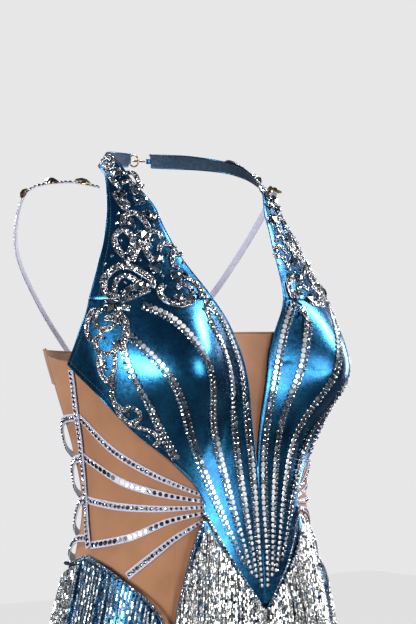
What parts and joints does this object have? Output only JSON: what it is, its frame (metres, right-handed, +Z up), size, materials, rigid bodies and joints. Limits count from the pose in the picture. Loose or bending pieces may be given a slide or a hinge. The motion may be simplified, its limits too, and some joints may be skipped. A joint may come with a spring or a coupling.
{
  "type": "fringed halter leotard",
  "caption": "Halter-neck competition leotard in foil and mesh, with stone-set elastic bands, crystal trim and a bead fringe that swings from the hips.",
  "frame": {"origin": "centre of the waist of the torso that wears it", "axes": "+Z up along the body, wearer facing -Y, wearer's right side at -X"},
  "size_m": [0.3634, 0.2706, 0.7021],
  "materials": {
    "foil": "metallic foil-coated stretch fabric, satin shine",
    "mesh": "skin-coloured stretch mesh, matt",
    "elastic": "white woven elastic set with a line of stones",
    "crystal": "foil-backed faceted stones and flat mirror discs, bright",
    "fringe": "silver bead and sequin strands, bright",
    "padding": "foam cup covered in lining, matt",
    "gold": "polished gold-coloured wire"
  },
  "bodies": {
    "garment": {"back_band_left": "mesh", "back_band_right": "mesh", "back_eye": "gold", "back_hook": "gold", "bodice_left": "foil", "bodice_right": "foil", "brief_front": "foil", "cage_band_1": "elastic", "cage_band_2": "elastic", "cage_band_3": "elastic", "cage_band_4": "elastic", "cup_pad_left": "padding", "cup_pad_right": "padding", "fan_band_1_left": "elastic", "fan_band_1_right": "elastic", "fan_band_2_left": "elastic", "fan_band_2_right": "elastic", "fan_band_3_left": "elastic", "fan_band_3_right": "elastic", "fan_band_4_left": "elastic", "fan_band_4_right": "elastic", "fan_band_5_left": "elastic", "fan_band_5_right": "elastic", "gusset": "foil", "halter_strap_left": "foil", "halter_strap_right": "foil", "hip_panel_left": "foil", "hip_panel_right": "foil", "leg_elastic_left": "foil", "leg_elastic_right": "foil", "modesty_insert": "mesh", "neck_hook": "gold", "seat_panel": "foil", "shoulder_band_left": "elastic", "shoulder_band_right": "elastic", "side_band_left": "elastic", "side_band_right": "elastic", "side_mesh_left": "mesh", "side_mesh_right": "mesh", "side_scroll_left": "crystal", "side_scroll_right": "crystal", "stone_row_1_left": "crystal", "stone_row_1_right": "crystal", "stone_row_2_left": "crystal", "stone_row_2_right": "crystal", "stone_row_3_left": "crystal", "stone_row_3_right": "crystal", "stone_row_4_left": "crystal", "stone_row_4_right": "crystal", "stone_row_5_left": "crystal", "stone_row_5_right": "crystal", "strap_applique_left": "crystal", "strap_applique_right": "crystal"},
    "fringe_back_left": {"fringe_back_left": "fringe"},
    "fringe_back_right": {"fringe_back_right": "fringe"},
    "fringe_front_left": {"fringe_front_left": "fringe"},
    "fringe_front_right": {"fringe_front_right": "fringe"},
    "fringe_hip_left": {"fringe_hip_left": "fringe"},
    "fringe_hip_right": {"fringe_hip_right": "fringe"},
    "neck_ring": {"neck_ring": "gold"}
  },
  "joints": [
    {"name": "fringe_back_left_swing", "type": "hinge", "parent": "garment", "child": "fringe_back_left", "pos_m": [0.09969, 0.07862, -0.058], "axis": [0.8175, -0.5759, 0], "range_deg": [0, 35]},
    {"name": "fringe_back_right_swing", "type": "hinge", "parent": "garment", "child": "fringe_back_right", "pos_m": [-0.09969, 0.07862, -0.058], "axis": [0.8175, 0.5759, 0], "range_deg": [0, 35]},
    {"name": "fringe_front_left_swing", "type": "hinge", "parent": "garment", "child": "fringe_front_left", "pos_m": [0.05767, -0.1224, -0.02075], "axis": [-1, 0, 0], "range_deg": [0, 35]},
    {"name": "fringe_front_right_swing", "type": "hinge", "parent": "garment", "child": "fringe_front_right", "pos_m": [-0.05767, -0.1224, -0.02075], "axis": [-1, 0, 0], "range_deg": [0, 35]},
    {"name": "fringe_hip_left_swing", "type": "hinge", "parent": "garment", "child": "fringe_hip_left", "pos_m": [0.13603, -0.05654, -0.054], "axis": [-0.3066, -0.9518, 0], "range_deg": [0, 35]},
    {"name": "fringe_hip_right_swing", "type": "hinge", "parent": "garment", "child": "fringe_hip_right", "pos_m": [-0.13603, -0.05654, -0.054], "axis": [-0.3066, 0.9518, 0], "range_deg": [0, 35]},
    {"name": "neck_ring_turn", "type": "hinge", "parent": "garment", "child": "neck_ring", "pos_m": [-0.0128, 0.0885, 0.36], "axis": [0, 0, 1], "range_deg": [-10, 10]}
  ]
}
